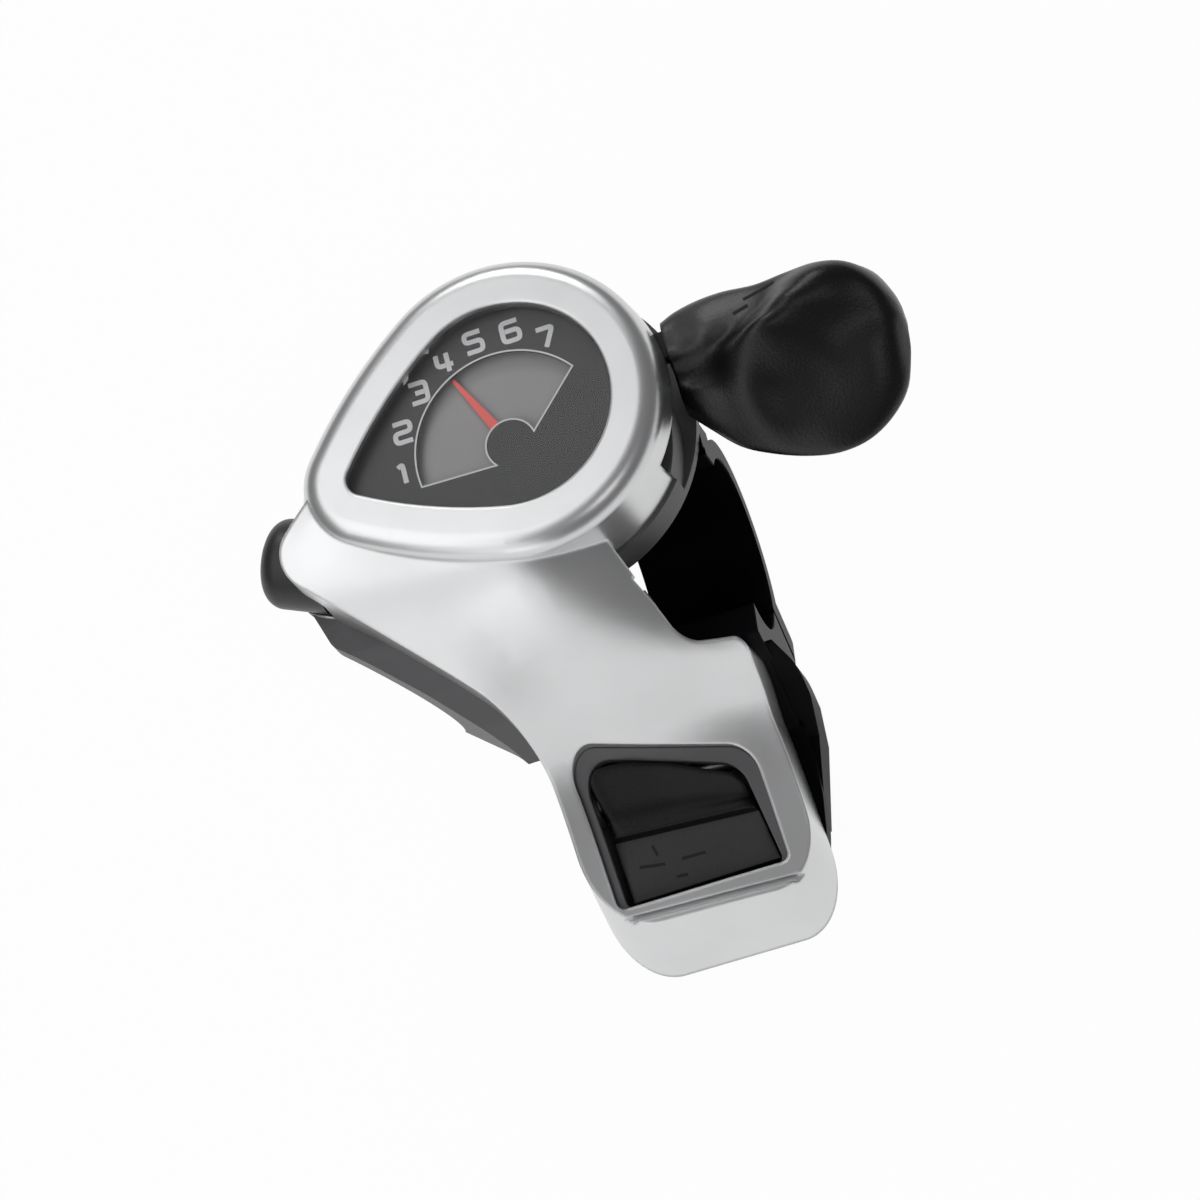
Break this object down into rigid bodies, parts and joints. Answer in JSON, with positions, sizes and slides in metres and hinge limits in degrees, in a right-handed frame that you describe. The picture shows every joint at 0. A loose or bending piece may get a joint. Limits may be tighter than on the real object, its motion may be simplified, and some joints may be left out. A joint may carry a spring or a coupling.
{
  "type": "bicycle trigger shifter",
  "caption": "Handlebar trigger shifter: round gauge head with a needle dial, thumb paddle, release button on a hooked tail, split bar clamp and cable adjuster.",
  "frame": {"origin": "centre of the handlebar bore, halfway along the clamp", "axes": "+X along the bar towards the thumb paddle, +Z from the bar to the dial, +Y away from the rider"},
  "size_m": [0.0847, 0.0789, 0.053],
  "materials": {
    "satin_silver": "satin silver lacquer",
    "dark_grey": "fine moulded grain",
    "black_gloss": "gloss black",
    "black_grain": "matt grained",
    "barrel_black": "satin moulded",
    "steel": "stamped and plated",
    "bolt_steel": "dark zinc",
    "black_steel": "satin black paint",
    "brass": "turned",
    "dial_grey": "matt",
    "mask_grey": "matt",
    "needle_red": "gloss",
    "lens_clear": "clear moulded lens",
    "wire_steel": "stranded"
  },
  "bodies": {
    "housing": {"top_cover": "satin_silver", "base_housing": "dark_grey", "clamp_jaw": "black_gloss", "clamp_band": "black_gloss", "clamp_bolt": "bolt_steel", "clamp_nut": "steel", "base_plate": "steel", "main_axle": "steel", "axle_clip": "steel", "dial_mask": "mask_grey", "dial_carrier": "black_grain", "dial_plate": "dial_grey", "dial_lens": "lens_clear", "hold_pawl_post": "steel", "lever_spring": "steel", "button_pin": "steel", "adjuster_sleeve": "brass", "shift_wire": "wire_steel", "button_bezel": "dark_grey", "button_spring": "steel", "tab_screws": "bolt_steel", "cover_screws": "bolt_steel"},
    "thumb_lever": {"lever_plate": "black_steel", "lever_paddle": "black_grain", "feed_pawl_pin": "steel"},
    "feed_pawl_body": {"feed_pawl": "steel"},
    "index_drum": {"wire_drum": "steel", "wire_head": "steel", "needle_driver": "black_grain", "needle": "needle_red"},
    "hold_pawl_body": {"hold_pawl": "steel"},
    "button_body": {"release_button": "black_grain"},
    "slider_body": {"release_slider": "steel"},
    "adjuster": {"adjuster_barrel": "barrel_black"}
  },
  "joints": [
    {"name": "lever_swing", "type": "hinge", "parent": "housing", "child": "thumb_lever", "pos_m": [-0.013, 0.0111, 0.02], "axis": [0, 0, 1], "range_deg": [0, 44], "stiffness_Nm_per_rad": 0.4, "springref_deg": -17.19},
    {"name": "feed_pawl_swing", "type": "hinge", "parent": "thumb_lever", "child": "feed_pawl_body", "pos_m": [-0.00633, 0.02364, 0.0192], "axis": [0, 0, 1], "range_deg": [0, 7]},
    {"name": "drum_turn", "type": "hinge", "parent": "housing", "child": "index_drum", "pos_m": [-0.013, 0.0111, 0.02], "axis": [0, 0, 1], "range_deg": [-60.6, 60.6]},
    {"name": "release_press", "type": "hinge", "parent": "housing", "child": "button_body", "pos_m": [-0.01, -0.0234, -0.0089], "axis": [1, 0, 0], "range_deg": [0, 9], "stiffness_Nm_per_rad": 0.3, "springref_deg": -11.46},
    {"name": "slider_travel", "type": "hinge", "parent": "housing", "child": "slider_body", "pos_m": [-0.02, 0, 0], "axis": [1, 0, 0], "range_deg": [-6.2, 0]},
    {"name": "hold_pawl_swing", "type": "hinge", "parent": "housing", "child": "hold_pawl_body", "pos_m": [-0.02672, 0.01664, 0.0192], "axis": [0, 0, 1], "range_deg": [-8.2, 0]},
    {"name": "barrel_turn", "type": "hinge", "parent": "housing", "child": "adjuster", "pos_m": [-0.0472, 0.01, 0.0172], "axis": [-0.9063, 0.4226, 0], "continuous": true}
  ],
  "couplings": [
    {"joint": "feed_pawl_swing", "follows": "lever_swing", "ratio": 0.155},
    {"joint": "slider_travel", "follows": "release_press", "ratio": -0.6667},
    {"joint": "hold_pawl_swing", "follows": "release_press", "ratio": -0.8889}
  ]
}
